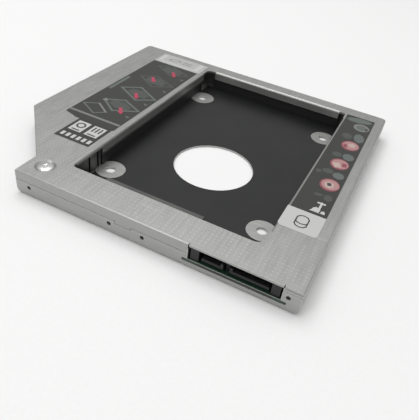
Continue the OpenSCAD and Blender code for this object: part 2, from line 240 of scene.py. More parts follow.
def makeHandlingMarks():
    # long thin scuffs in two directions, as a mask
    tree, given, result = startGroup(
        "handlingMarks",
        [("Scale", "NodeSocketFloat", 90.0), ("Amount", "NodeSocketFloat", 0.5)],
        [("Mask", "NodeSocketFloat")],
    )
    place = addNode(tree, "ShaderNodeTexCoord")
    masks = []
    for turn, length in ((0.5, 14.0), (-1.1, 18.0)):
        mapping = addNode(tree, "ShaderNodeMapping")
        mapping.inputs["Rotation"].default_value = (0.2, 0.1, turn)
        mapping.inputs["Scale"].default_value = (1.0, length, 1.0)
        noise = addNode(tree, "ShaderNodeTexNoise")
        noise.inputs["Detail"].default_value = 2.0
        join(tree, place.outputs["Object"], mapping.inputs["Vector"])
        join(tree, mapping.outputs["Vector"], noise.inputs["Vector"])
        join(tree, given.outputs["Scale"], noise.inputs["Scale"])
        masks.append(remap(tree, noise.outputs["Fac"], 0.66, 0.74))
    both = calculate(tree, "MAXIMUM", masks[0], masks[1])
    join(tree, calculate(tree, "MULTIPLY", both, given.outputs["Amount"]), result.inputs["Mask"])
    return tree


def makeEdgeWear():
    # how near a point is to an outer edge, broken up by noise
    tree, given, result = startGroup(
        "edgeWear",
        [("Radius", "NodeSocketFloat", 0.0004), ("Amount", "NodeSocketFloat", 1.0)],
        [("Mask", "NodeSocketFloat")],
    )
    rounded = addNode(tree, "ShaderNodeBevel", samples=6)
    join(tree, given.outputs["Radius"], rounded.inputs["Radius"])
    geometry = addNode(tree, "ShaderNodeNewGeometry")
    dot = addNode(tree, "ShaderNodeVectorMath", operation="DOT_PRODUCT")
    join(tree, rounded.outputs["Normal"], dot.inputs[0])
    join(tree, geometry.outputs["True Normal"], dot.inputs[1])
    near = remap(tree, dot.outputs["Value"], 1.0, 0.9)
    place = addNode(tree, "ShaderNodeTexCoord")
    noise = addNode(tree, "ShaderNodeTexNoise")
    noise.inputs["Scale"].default_value = 700.0
    join(tree, place.outputs["Object"], noise.inputs["Vector"])
    broken = calculate(tree, "MULTIPLY", near, remap(tree, noise.outputs["Fac"], 0.2, 0.6))
    join(tree, calculate(tree, "MULTIPLY", broken, given.outputs["Amount"]), result.inputs["Mask"])
    return tree


def makeSettledDust():
    # dust that lies on what faces up, in soft patches
    tree, given, result = startGroup(
        "settledDust",
        [("Scale", "NodeSocketFloat", 60.0), ("Amount", "NodeSocketFloat", 0.3)],
        [("Mask", "NodeSocketFloat")],
    )
    geometry = addNode(tree, "ShaderNodeNewGeometry")
    split = addNode(tree, "ShaderNodeSeparateXYZ")
    join(tree, geometry.outputs["Normal"], split.inputs["Vector"])
    up = remap(tree, split.outputs["Z"], 0.2, 1.0)
    place = addNode(tree, "ShaderNodeTexCoord")
    patches = addNode(tree, "ShaderNodeTexNoise")
    patches.inputs["Detail"].default_value = 5.0
    join(tree, place.outputs["Object"], patches.inputs["Vector"])
    join(tree, given.outputs["Scale"], patches.inputs["Scale"])
    lying = calculate(tree, "MULTIPLY", up, remap(tree, patches.outputs["Fac"], 0.35, 0.75))
    join(tree, calculate(tree, "MULTIPLY", lying, given.outputs["Amount"]), result.inputs["Mask"])
    return tree


fineGrain = makeFineGrain()
handlingMarks = makeHandlingMarks()
edgeWear = makeEdgeWear()
settledDust = makeSettledDust()


def placeGroup(tree, group, **values):
    node = addNode(tree, "ShaderNodeGroup", node_tree=group)
    for key, value in values.items():
        node.inputs[key].default_value = value
    return node


def blendColours(tree, mask, first, second):
    # first where the mask is 0, second where it is 1; either may be a colour or a socket
    node = addNode(tree, "ShaderNodeMix", data_type="RGBA")
    join(tree, mask, node.inputs[0])
    for socket, value in ((node.inputs[6], first), (node.inputs[7], second)):
        if isinstance(value, tuple):
            socket.default_value = (*value, 1.0)
        else:
            join(tree, value, socket)
    return node.outputs[2]


def blendValues(tree, mask, first, second):
    node = addNode(tree, "ShaderNodeMix", data_type="FLOAT")
    join(tree, mask, node.inputs[0])
    for socket, value in ((node.inputs[2], first), (node.inputs[3], second)):
        if isinstance(value, (int, float)):
            socket.default_value = value
        else:
            join(tree, value, socket)
    return node.outputs[0]


def startMaterial(name, **fixed):
    material = bpy.data.materials.new(name)
    material.use_nodes = True
    tree = material.node_tree
    shader = tree.nodes["Principled BSDF"]
    for key, value in fixed.items():
        shader.inputs[key.replace("_", " ")].default_value = value
    return material, tree, shader


def addBump(tree, shader, height, strength, distance):
    bump = addNode(tree, "ShaderNodeBump")
    bump.inputs["Strength"].default_value = strength
    bump.inputs["Distance"].default_value = distance
    join(tree, height, bump.inputs["Height"])
    join(tree, bump.outputs["Normal"], shader.inputs["Normal"])


def sheetMetal(name, tone, dark, roughness, stretch, edgeWearAndHighlight):
    # rolled aluminium sheet: faint rolling streaks, cloudy tone, scuffs, and outer edges painted bright,
    # partly as wear and partly as a painted highlight
    material, tree, shader = startMaterial(name, Metallic=0.75)
    streaks = placeGroup(tree, fineGrain, Scale=900.0, Stretch=stretch, Detail=2.0)
    clouds = placeGroup(tree, fineGrain, Scale=38.0, Detail=4.0)
    frost = placeGroup(tree, fineGrain, Scale=6500.0, Detail=2.0)
    marks = placeGroup(tree, handlingMarks, Scale=60.0, Amount=0.12)
    worn = placeGroup(tree, edgeWear, Radius=0.35 * mm, Amount=edgeWearAndHighlight)
    dusty = placeGroup(tree, settledDust, Scale=45.0, Amount=0.1)
    colour = blendColours(tree, streaks.outputs["Tone"], dark, tone)
    colour = blendColours(tree, calculate(tree, "MULTIPLY", clouds.outputs["Tone"], 0.35), colour, dark)
    colour = blendColours(tree, marks.outputs["Mask"], colour, (0.72, 0.72, 0.71))
    # edges painted near-white: part real wear, part a painted highlight along the bends
    colour = blendColours(tree, worn.outputs["Mask"], colour, (0.86, 0.86, 0.85))
    colour = blendColours(tree, dusty.outputs["Mask"], colour, (0.5, 0.49, 0.46))
    join(tree, colour, shader.inputs["Base Color"])
    rough = blendValues(tree, streaks.outputs["Tone"], roughness - 0.05, roughness + 0.05)
    rough = blendValues(tree, worn.outputs["Mask"], rough, 0.28)
    join(tree, rough, shader.inputs["Roughness"])
    addBump(tree, shader, frost.outputs["Height"], 0.35, 0.02 * mm)
    return material


def mouldedPlastic(name, colour, worn, roughness, dust=0.15):
    # moulded plastic: spark-eroded grain, paler edges, a little dust
    material, tree, shader = startMaterial(name)
    texture = placeGroup(tree, fineGrain, Scale=3200.0, Detail=3.0)
    edges = placeGroup(tree, edgeWear, Radius=0.2 * mm, Amount=0.5)
    dusty = placeGroup(tree, settledDust, Scale=120.0, Amount=dust)
    tint = blendColours(tree, calculate(tree, "MULTIPLY", texture.outputs["Tone"], 0.3), colour, worn)
    tint = blendColours(tree, edges.outputs["Mask"], tint, worn)
    tint = blendColours(tree, dusty.outputs["Mask"], tint, (0.28, 0.27, 0.25))
    join(tree, tint, shader.inputs["Base Color"])
    rough = blendValues(tree, texture.outputs["Tone"], roughness - 0.06, roughness + 0.06)
    join(tree, rough, shader.inputs["Roughness"])
    addBump(tree, shader, texture.outputs["Height"], 0.3, 0.03 * mm)
    return material


def platedMetal(name, tone, tarnish, roughness, stretch=(1.0, 1.0, 1.0)):
    # turned, stamped or plated metal with fine tool lines and a trace of tarnish
    material, tree, shader = startMaterial(name, Metallic=1.0)
    lines = placeGroup(tree, fineGrain, Scale=2600.0, Stretch=stretch, Detail=2.0)
    film = placeGroup(tree, fineGrain, Scale=320.0, Detail=4.0)
    worn = placeGroup(tree, edgeWear, Radius=0.15 * mm, Amount=0.6)
    colour = blendColours(tree, film.outputs["Tone"], tone, tarnish)
    colour = blendColours(tree, worn.outputs["Mask"], colour, tone)
    join(tree, colour, shader.inputs["Base Color"])
    rough = blendValues(tree, lines.outputs["Tone"], roughness - 0.04, roughness + 0.06)
    join(tree, rough, shader.inputs["Roughness"])
    addBump(tree, shader, lines.outputs["Height"], 0.25, 0.01 * mm)
    return material


def blackFilm():
    # matt polyester film: fine matt coat, faint waviness, lint and scuffs
    material, tree, shader = startMaterial("insulatingFilm", Specular_IOR_Level=0.42)
    coat = placeGroup(tree, fineGrain, Scale=5200.0, Detail=2.0)
    waves = placeGroup(tree, fineGrain, Scale=26.0, Detail=1.0)
    marks = placeGroup(tree, handlingMarks, Scale=70.0, Amount=0.12)
    dusty = placeGroup(tree, settledDust, Scale=70.0, Amount=0.03)
    colour = blendColours(tree, waves.outputs["Tone"], (0.0065, 0.007, 0.007), (0.0085, 0.0092, 0.0092))
    colour = blendColours(tree, marks.outputs["Mask"], colour, (0.035, 0.036, 0.037))
    colour = blendColours(tree, dusty.outputs["Mask"], colour, (0.12, 0.12, 0.11))
    join(tree, colour, shader.inputs["Base Color"])
    join(tree, blendValues(tree, coat.outputs["Tone"], 0.3, 0.38), shader.inputs["Roughness"])
    fine = calculate(tree, "MULTIPLY", coat.outputs["Height"], 0.15)
    height = calculate(tree, "ADD", fine, waves.outputs["Height"])
    addBump(tree, shader, height, 0.15, 0.05 * mm)
    return material


def axisMask(tree, axis, low, high):
    # 1 between two places along an axis
    place = addNode(tree, "ShaderNodeTexCoord")
    split = addNode(tree, "ShaderNodeSeparateXYZ")
    join(tree, place.outputs["Object"], split.inputs["Vector"])
    above = calculate(tree, "GREATER_THAN", split.outputs[axis], low)
    below = calculate(tree, "LESS_THAN", split.outputs[axis], high)
    return calculate(tree, "MULTIPLY", above, below)


def faceMask(tree, axis, level):
    # 1 where the surface faces along an axis
    geometry = addNode(tree, "ShaderNodeNewGeometry")
    split = addNode(tree, "ShaderNodeSeparateXYZ")
    join(tree, geometry.outputs["True Normal"], split.inputs["Vector"])
    return calculate(tree, "GREATER_THAN" if level > 0 else "LESS_THAN", split.outputs[axis], level)


boardLook = {
    "paleBorderAndHighlight": 0.32 * mm,  # pale laminate along the top of the cut edge, partly a painted highlight
    "shadedFrom": 31 * mm,  # the stretch of cut edge under the plug's tongues, painted in shade
    "shadedTo": 55.4 * mm,
}


def circuitBoard():
    # green mask over copper tracks, a pale strip along the top of the cut edge that is partly bare laminate
    # and partly a painted highlight, and painted shade on the cut edge under the plug
    material, tree, shader = startMaterial("circuitBoard", Coat_Weight=0.4, Coat_Roughness=0.2)
    weave = placeGroup(tree, fineGrain, Scale=900.0, Detail=2.0)
    tracks = addNode(tree, "ShaderNodeTexBrick", offset=0.35, squash=1.0)
    tracks.inputs["Scale"].default_value = 420.0
    tracks.inputs["Mortar Size"].default_value = 0.07
    place = addNode(tree, "ShaderNodeTexCoord")
    join(tree, place.outputs["Object"], tracks.inputs["Vector"])
    copper = remap(tree, tracks.outputs["Fac"], 0.0, 1.0, 1.0, 0.0)
    mask = blendColours(tree, weave.outputs["Tone"], (0.01, 0.03, 0.02), (0.014, 0.042, 0.028))
    mask = blendColours(tree, calculate(tree, "MULTIPLY", copper, 0.5), mask, (0.02, 0.06, 0.04))
    rearStrip = axisMask(tree, "Y", rearY - mm, rearY + boardLook["paleBorderAndHighlight"])
    paleAndHighlitBorder = calculate(tree, "MULTIPLY", rearStrip, faceMask(tree, "Z", 0.5))
    # pale strip along the top of the cut edge: part bare laminate, part painted highlight
    colour = blendColours(tree, paleAndHighlitBorder, mask, (0.42, 0.45, 0.40))
    shadeUnderPlug = axisMask(tree, "X", boardLook["shadedFrom"], boardLook["shadedTo"])
    # painted shade: the cut edge under the plug's tongues is painted near-black
    edge = calculate(tree, "MULTIPLY", faceMask(tree, "Y", -0.5), shadeUnderPlug)
    colour = blendColours(tree, edge, colour, (0.012, 0.016, 0.014))
    join(tree, colour, shader.inputs["Base Color"])
    join(tree, blendValues(tree, weave.outputs["Tone"], 0.34, 0.46), shader.inputs["Roughness"])
    addBump(tree, shader, copper, 0.3, 0.03 * mm)
    return material


def endCappedChip(name, body, speck, cap):
    # a ceramic chip: the body's colour, with tinned ends where the surface faces along X
    material, tree, shader = startMaterial(name)
    speckle = placeGroup(tree, fineGrain, Scale=2500.0, Detail=2.0)
    colour = blendColours(tree, calculate(tree, "MULTIPLY", speckle.outputs["Tone"], 0.4), body, speck)
    ends = addNode(tree, "ShaderNodeNewGeometry")
    split = addNode(tree, "ShaderNodeSeparateXYZ")
    join(tree, ends.outputs["True Normal"], split.inputs["Vector"])
    sideways = calculate(tree, "ABSOLUTE", split.outputs["X"], 0.0)
    tinned = calculate(tree, "GREATER_THAN", sideways, 0.5)
    colour = blendColours(tree, tinned, colour, cap)
    join(tree, colour, shader.inputs["Base Color"])
    join(tree, tinned, shader.inputs["Metallic"])
    join(tree, blendValues(tree, speckle.outputs["Tone"], 0.4, 0.55), shader.inputs["Roughness"])
    return material


def printedLabel(name, field, mottled, whiteTo=None):
    # printed film: even ink with a slight mottle and a few scuffs; white up to whiteTo, if given
    gloss = {"Specular_IOR_Level": 0.36, "Coat_Weight": 0.04, "Coat_Roughness": 0.35}
    material, tree, shader = startMaterial(name, **gloss)
    mottle = placeGroup(tree, fineGrain, Scale=1600.0, Detail=3.0)
    broad = placeGroup(tree, fineGrain, Scale=60.0, Detail=2.0)
    marks = placeGroup(tree, handlingMarks, Scale=110.0, Amount=0.25)
    colour = blendColours(tree, calculate(tree, "MULTIPLY", mottle.outputs["Tone"], 0.3), field, mottled)
    colour = blendColours(tree, calculate(tree, "MULTIPLY", broad.outputs["Tone"], 0.25), colour, mottled)
    colour = blendColours(tree, marks.outputs["Mask"], colour, mottled)
    if whiteTo is not None:
        colour = blendColours(tree, axisMask(tree, "Y", rearY, whiteTo), colour, (0.5, 0.5, 0.495))
    join(tree, colour, shader.inputs["Base Color"])
    rough = blendValues(tree, broad.outputs["Tone"], 0.37, 0.49)
    join(tree, rough, shader.inputs["Roughness"])
    addBump(tree, shader, mottle.outputs["Height"], 0.15, 0.02 * mm)
    return material


finishes = {
    "cover": sheetMetal("coverSheet", (0.41, 0.41, 0.4), (0.37, 0.37, 0.362), 0.42, (1.0, 0.12, 1.0), 0.35),
    "tray": sheetMetal("traySheet", (0.43, 0.43, 0.42), (0.38, 0.38, 0.373), 0.38, (0.12, 1.0, 1.0), 0.5),
    "film": blackFilm(),
    "board": circuitBoard(),
    "turned": platedMetal("turnedPosts", (0.55, 0.54, 0.5), (0.42, 0.41, 0.38), 0.3, (1.0, 1.0, 6.0)),
    "screw": platedMetal("platedScrews", (0.86, 0.86, 0.85), (0.7, 0.7, 0.69), 0.22),
    "gold": platedMetal("goldContacts", (0.8, 0.6, 0.3), (0.62, 0.46, 0.22), 0.26),
    "bracket": platedMetal("cornerBracket", (0.17, 0.17, 0.17), (0.11, 0.11, 0.11), 0.42),
    "capacitors": endCappedChip("capacitors", (0.36, 0.25, 0.14), (0.3, 0.2, 0.11), (0.6, 0.6, 0.58)),
    "resistors": endCappedChip("resistors", (0.02, 0.02, 0.022), (0.05, 0.05, 0.05), (0.6, 0.6, 0.58)),
    "plug": mouldedPlastic("plugHousing", (0.006, 0.006, 0.0065), (0.02, 0.02, 0.021), 0.45, 0.06),
    "socket": mouldedPlastic("socketHousing", (0.05, 0.05, 0.05), (0.1, 0.1, 0.097), 0.5),
    "rail": mouldedPlastic("guideRails", (0.012, 0.012, 0.013), (0.035, 0.035, 0.036), 0.5),
    "label": printedLabel("labelField", (0.031, 0.0315, 0.028), (0.043, 0.044, 0.039)),
    "procedure": printedLabel(
        "procedureField", (0.031, 0.0315, 0.028), (0.043, 0.044, 0.039), whiteTo=rearY + 36.4 * mm
    ),
    "whiteInk": printedLabel("whiteInk", (0.5, 0.5, 0.495), (0.54, 0.54, 0.535)),
    "silverInk": printedLabel("silverInk", (0.41, 0.41, 0.405), (0.45, 0.45, 0.445)),
    "greyInk": printedLabel("greyInk", (0.17, 0.175, 0.165), (0.22, 0.225, 0.215)),
    "tealInk": printedLabel("tealInk", (0.1, 0.118, 0.11), (0.14, 0.155, 0.148)),
    "redInk": printedLabel("redInk", (0.44, 0.03, 0.085), (0.48, 0.07, 0.12)),
    "pinkInk": printedLabel("pinkInk", (0.38, 0.2, 0.2), (0.42, 0.25, 0.25)),
    "roseInk": printedLabel("roseInk", (0.23, 0.06, 0.08), (0.28, 0.09, 0.11)),
    "paleInk": printedLabel("paleInk", (0.45, 0.34, 0.31), (0.5, 0.38, 0.35)),
    "dimInk": printedLabel("dimInk", (0.06, 0.066, 0.06), (0.08, 0.086, 0.08)),
    "darkInk": printedLabel("darkInk", (0.035, 0.036, 0.034), (0.06, 0.06, 0.058)),
}
print("finishes made:", len(finishes))


# top cover: bent sheet with a rolled outer edge, embossed all over with small dots
coverDetail = {
    "bendRadius": 0.55 * mm,  # outer radius where the flanges turn down
    "rawRearFrom": 27.3 * mm,  # the rear edge has no flange to the right of this
    "rearEdgeDepth": 0.9 * mm,  # an edge this close to the rear counts as the rear edge
    "aroundWindow": (at(-27, 10, 0), at(48, 121, 0)),  # edges in here keep the window's own bend
    "aroundDimple": 4.6 * mm,
}
dots = {
    "pitch": 1.55 * mm,
    "columns": 82,
    "rows": 80,
    "column": 54.7 * mm,  # a column near the right edge, which sets the grid across
    "columnsToItsLeft": 76,
    "row": rearY + 2.1 * mm,  # the row nearest the connector edge
    "radius": 0.3 * mm,
    "rise": 0.038 * mm,
    "root": 0.03 * mm,  # how far a dome reaches into the plate
    "edgeMargin": 0.75 * mm,
    "labelMargin": 0.5 * mm,
}


def bendOuterEdges(piece):
    # gives a bevel weight to the top edges that carry an outer flange
    weights = piece.data.attributes.new("bevel_weight_edge", "FLOAT", "EDGE")
    low, high = coverDetail["aroundWindow"]
    dimple = Vector((rearScrewPlace.x, rearScrewPlace.y, plateTop))
    sides = {}
    for face in piece.data.polygons:
        for key in face.edge_keys:
            sides.setdefault(key, []).append(face.normal)
    for edge in piece.data.edges:
        ends = [piece.data.vertices[i].co for i in edge.vertices]
        middle = (ends[0] + ends[1]) / 2
        onTop = all(abs(end.z - plateTop) < 0.01 * mm for end in ends)
        byWindow = low.x < middle.x < high.x and low.y < middle.y < high.y
        rim = sides[edge.key]
        sharp = len(rim) == 2 and rim[0].dot(rim[1]) < 0.7
        atRear = middle.y < rearY + coverDetail["rearEdgeDepth"]
        raw = atRear and middle.x > coverDetail["rawRearFrom"]
        byDimple = (middle - dimple).length < coverDetail["aroundDimple"]
        if onTop and sharp and not (byWindow or raw or byDimple):
            weights.data[edge.index].value = 1.0
    applyModifier(piece, "BEVEL", width=coverDetail["bendRadius"], segments=4, limit_method="WEIGHT")


def makeCover():
    piece = copyNode("top_cover")
    bendOuterEdges(piece)
    softenEdges(piece, sheetCut)
    finishSurface(piece)
    settle(piece, "cover_sheet_detailed", "cover_sheet", finishes["cover"], "top_cover")


def standsOnPlate(centre, plate, labelBoxes):
    # true where a dome has plate under it and all round it, and no label over it
    clear, margin = dots["labelMargin"], dots["edgeMargin"]
    for low, high in labelBoxes:
        if low.x - clear < centre.x < high.x + clear and low.y - clear < centre.y < high.y + clear:
            return False
    for dx, dy in ((0, 0), (margin, 0), (-margin, 0), (0, margin), (0, -margin)):
        above = Vector((centre.x + dx, centre.y + dy, plateTop + 5 * mm))
        place = plate.ray_cast(above, Vector((0, 0, -1)))[0]
        if place is None or abs(place.z - plateTop) > 0.01 * mm:
            return False
    return True


def makeDots():
    # one small dome, arrayed over the whole plate, then cleared where there is no plate
    pitch, radius, rise = dots["pitch"], dots["radius"], dots["rise"]
    firstX = dots["column"] - dots["columnsToItsLeft"] * pitch
    profile = [(radius, -dots["root"]), (radius * 0.96, 0.02 * mm)]
    profile += [(radius * 0.72, rise * 0.75), (radius * 0.34, rise)]
    grid = turned("dots", Vector((firstX, dots["row"], plateTop)), profile, 8)
    for count, step in ((dots["columns"], (pitch, 0, 0)), (dots["rows"], (0, pitch, 0))):
        applyModifier(
            grid,
            "ARRAY",
            count=count,
            use_relative_offset=False,
            use_constant_offset=True,
            constant_offset_displace=step,
        )
    plate = BVHTree.FromObject(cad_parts["top_cover"], bpy.context.evaluated_depsgraph_get())
    labelBoxes = [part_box(node) for node in ("instruction_label", "procedure_label", "symbol_patch")]
    perDome = len(grid.data.vertices) // (dots["columns"] * dots["rows"])
    lost = []
    for start in range(0, len(grid.data.vertices), perDome):
        dome = [grid.data.vertices[start + i].co for i in range(perDome)]
        if not standsOnPlate(sum(dome, Vector()) / perDome, plate, labelBoxes):
            lost.extend(range(start, start + perDome))
    activate(grid)
    bpy.ops.object.mode_set(mode="EDIT")
    bpy.ops.mesh.select_mode(type="VERT")
    bpy.ops.mesh.select_all(action="DESELECT")
    closeEdit()
    for index in lost:
        grid.data.vertices[index].select = True
    bpy.ops.object.mode_set(mode="EDIT")
    bpy.ops.mesh.delete(type="VERT")
    closeEdit()
    activate(grid)
    bpy.ops.object.shade_smooth_by_angle(angle=math.radians(60))
    print("dots on the cover:", len(grid.data.vertices) // perDome)
    settle(grid, "cover_dots", "cover_sheet", finishes["cover"])


makeDots()
makeCover()
print("cover done")


# base tray, with its cut edges softened
tray = copyNode("base_tray")
softenEdges(tray, sheetCut)
finishSurface(tray)
settle(tray, "tray_sheet_detailed", "tray_sheet", finishes["tray"], "base_tray")
print("tray done")

panScrew = {
    "headRadius": 2.75 * mm,
    "rim": 0.35 * mm,  # height of the head's upright rim
    "height": 0.9 * mm,
    "shank": 0.95 * mm,
    "length": 3.5 * mm,
    "recess": (1.55 * mm, 0.62 * mm, 0.55 * mm),  # reach, width and depth of the cross
    "turn": math.radians(20),
}
floorScrew = {
    "radius": 1.8 * mm,
    "height": 0.38 * mm,
    "shank": 0.95 * mm,
    "length": 3.6 * mm,
    "recess": (1.15 * mm, 0.4 * mm, 0.26 * mm),
    "places": [(59, 20, 0), (59, 119, 0), (-57, 119, 3.2)],  # under the cover's three other posts
    "turns": [0.3, 0.9, 1.3],  # how far each one happens to be turned
}


def crossCutter(centre, recess, turn=0):
    # two tapered blades that cut a cross recess down from centre
    reach, width, depth = recess
    blades = []
    for quarter in (0, math.pi / 2):
        bpy.ops.object.select_all(action="DESELECT")
        bpy.ops.mesh.primitive_cube_add(size=1, location=(0, 0, 0))
        blade = bpy.context.object
        blade.scale = (2 * reach, width, 2 * depth)
        bpy.ops.object.transform_apply(location=False, rotation=False, scale=True)
        editFaces(blade, lambda face: face.normal.z < -0.9)
        bpy.ops.transform.resize(value=(0.35, 0.6, 1), center_override=(0, 0, -depth))
        closeEdit()
        blade.rotation_euler = (0, 0, turn + quarter)
        blade.location = centre
        bpy.ops.object.transform_apply(location=True, rotation=True, scale=True)
        blades.append(blade)
    applyModifier(blades[0], "BOOLEAN", operation="UNION", object=blades[1], solver="EXACT")
    bpy.data.objects.remove(blades[1])
    return blades[0]


def cutWith(piece, cutter):
    applyModifier(piece, "BOOLEAN", operation="DIFFERENCE", object=cutter, solver="EXACT")
    bpy.data.objects.remove(cutter)


def makePanScrew():
    # a domed head on its shank, with a cross recess
    radius, rim, height = panScrew["headRadius"], panScrew["rim"], panScrew["height"]
    shank = panScrew["shank"]
    profile = [(shank, -panScrew["length"]), (shank, -0.05 * mm)]
    profile += [(radius * 0.97, 0), (radius, 0.08 * mm), (radius, rim)]
    for step in range(1, 7):
        swing = step / 6 * math.pi / 2
        profile.append((radius * (0.3 + 0.7 * math.cos(swing)), rim + (height - rim) * math.sin(swing)))
    screw = turned("cover_screw", rearScrewPlace, profile, 64)
    top = rearScrewPlace + Vector((0, 0, height))
    cutWith(screw, crossCutter(top, panScrew["recess"], panScrew["turn"]))
    softenEdges(screw, 0.05 * mm, 35)
    finishSurface(screw)
    settle(screw, "rear_left_screw_detailed", "screw_steel", finishes["screw"], "cover_screw_rear_left")


def makeFloorScrews():
    # the three screws that come up from below: one is made at the origin, then copied
    radius, height, shank = floorScrew["radius"], floorScrew["height"], floorScrew["shank"]
    length = floorScrew["length"]
    profile = [(radius * 0.9, 0), (radius, 0.06 * mm), (radius, height)]
    profile += [(shank, height + 0.02 * mm), (shank, length - 0.3 * mm), (shank * 0.6, length)]
    first = turned("floor_screw", Vector((0, 0, 0)), profile)
    cutter = crossCutter(Vector((0, 0, 0)), floorScrew["recess"])
    cutter.data.transform(Matrix.Rotation(math.pi, 4, "X"))
    cutWith(first, cutter)
    finishSurface(first)
    screws = []
    for place, turn in zip(floorScrew["places"], floorScrew["turns"]):
        screw = first.copy()
        screw.data = first.data.copy()
        bpy.context.scene.collection.objects.link(screw)
        activate(screw)
        screw.rotation_euler = (0, 0, turn)
        screw.location = at(*place)
        bpy.ops.object.transform_apply(location=True, rotation=True, scale=True)
        screws.append(screw)
    bpy.data.objects.remove(first)
    joined = joinPieces(screws)
    settle(joined, "bottom_screws_detailed", "screw_steel", finishes["screw"], "cover_screws_bottom")


makePanScrew()
makeFloorScrews()
print("screws done")


# moulded, stamped and soldered parts that keep their CAD shape, with softened edges
softened = {
    # node: (new name, slot, finish, edge radius)
    "host_plug_housing": ("host_plug_detailed", "connector_black", "plug", 0.12 * mm),
    "drive_socket_housing": ("drive_socket_detailed", "connector_grey", "socket", 0.06 * mm),
    "left_guide_rail": ("left_rail_detailed", "rail_black", "rail", 0.2 * mm),
    "right_guide_rail": ("right_rail_detailed", "rail_black", "rail", 0.2 * mm),
    # the front stop bar is a black block set at the far end of the bay to stand in for the shade there
    "front_stop_bar": ("front_stop_shade_block", "rail_black", "rail", 0.2 * mm),
    "rear_corner_bracket": ("corner_bracket_detailed", "bracket_metal", "bracket", 0.15 * mm),
    "host_plug_power_contacts": ("plug_power_pins", "contact_gold", "gold", 0.03 * mm),
    "host_plug_signal_contacts": ("plug_signal_pins", "contact_gold", "gold", 0.03 * mm),
    "drive_socket_power_contacts": ("socket_power_pins", "contact_gold", "gold", 0.03 * mm),
    "drive_socket_signal_contacts": ("socket_signal_pins", "contact_gold", "gold", 0.03 * mm),
    "board_capacitors": ("capacitors_detailed", "chip_tan", "capacitors", 0.08 * mm),
    "board_resistors": ("resistors_detailed", "chip_black", "resistors", 0.05 * mm),
    "board_screws": ("board_screws_detailed", "screw_steel", "screw", 0.05 * mm),
}
for node, (name, slot, finish, radius) in softened.items():
    piece = copyNode(node)
    softenEdges(piece, radius)
    finishSurface(piece)
    settle(piece, name, slot, finishes[finish], node)
print("softened parts done:", len(softened))

plainNodes = {
    # node: its finish
    "floor_film": "film",
    "adapter_board": "board",
    "board_standoffs": "turned",
    "rear_left_post": "turned",
    "cover_posts": "turned",
    "instruction_label": "label",
    "procedure_label": "procedure",
    "symbol_patch": "label",
}
for node, finish in plainNodes.items():
    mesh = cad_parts[node].data
    mesh.materials.clear()
    mesh.materials.append(finishes[finish])


# label art: thin printed shapes, all of them plain pictograms and bars
ink = {"thickness": 0.02 * mm, "sink": 0.004 * mm, "overprint": 0.012 * mm, "stagger": 0.0012 * mm}
printed = {}  # each ink's shapes


def inkShape(key, corners, centre, size, turn=0.0, outline=0.0, level=0):
    # a flat shape of that many corners, size in mm across and along, filled or as an outline;
    # its level is the number of prints that lie under it
    bpy.ops.object.select_all(action="DESELECT")
    flat = math.pi / 4 if corners == 4 else 0
    reach = math.sqrt(0.5) if corners == 4 else 0.5
    bpy.ops.mesh.primitive_circle_add(
        vertices=corners, radius=reach, fill_type="NGON", rotation=(0, 0, flat)
    )
    shape = bpy.context.object
    bpy.ops.object.transform_apply(location=False, rotation=True, scale=False)
    shape.scale = (size[0] * mm, size[1] * mm, 1)
    bpy.ops.object.transform_apply(location=False, rotation=False, scale=True)
    shape.rotation_euler = (0, 0, math.radians(turn))
    # shapes that overlap never lie at quite the same height
    stagger = sum(len(shapes) for shapes in printed.values()) % 9 * ink["stagger"]
    height = inkFoot - ink["sink"] + level * ink["overprint"] + stagger
    shape.location = at(centre[0], centre[1], height / mm)
    bpy.ops.object.transform_apply(location=True, rotation=True, scale=True)
    bpy.ops.object.mode_set(mode="EDIT")
    bpy.ops.mesh.select_mode(type="FACE")
    bpy.ops.mesh.select_all(action="SELECT")
    if outline:
        bpy.ops.mesh.inset(thickness=outline * mm)
        bpy.ops.mesh.delete(type="FACE")
        bpy.ops.mesh.select_all(action="SELECT")
    bpy.ops.mesh.extrude_region_move(TRANSFORM_OT_translate={"value": (0, 0, ink["thickness"])})
    bpy.ops.mesh.select_all(action="SELECT")
    bpy.ops.mesh.normals_make_consistent(inside=False)
    closeEdit()
    printed.setdefault(key, []).append(shape)


def inkBar(key, centre, length, width, turn=0.0, level=0):
    inkShape(key, 4, centre, (length, width), turn, level=level)


def inkLine(key, start, end, width, level=0):
    # a bar from one point to another
    run = Vector((end[0] - start[0], end[1] - start[1]))
    centre = ((start[0] + end[0]) / 2, (start[1] + end[1]) / 2)
    turn = math.degrees(math.atan2(run.y, run.x))
    inkBar(key, centre, run.length + width, width, turn, level)


def inkPath(key, points, width, level=0):
    for start, end in zip(points, points[1:]):
        inkLine(key, start, end, width, level)


def inkArrow(centre):
    # a short arrow that points back towards the connector edge
    x, y = centre
    inkShape("redInk", 3, (x + 0.7, y - 1.0), (3.0, 3.2), 215, level=2)
    inkBar("redInk", (x - 0.7, y + 1.1), 1.4, 3.0, 35, level=2)


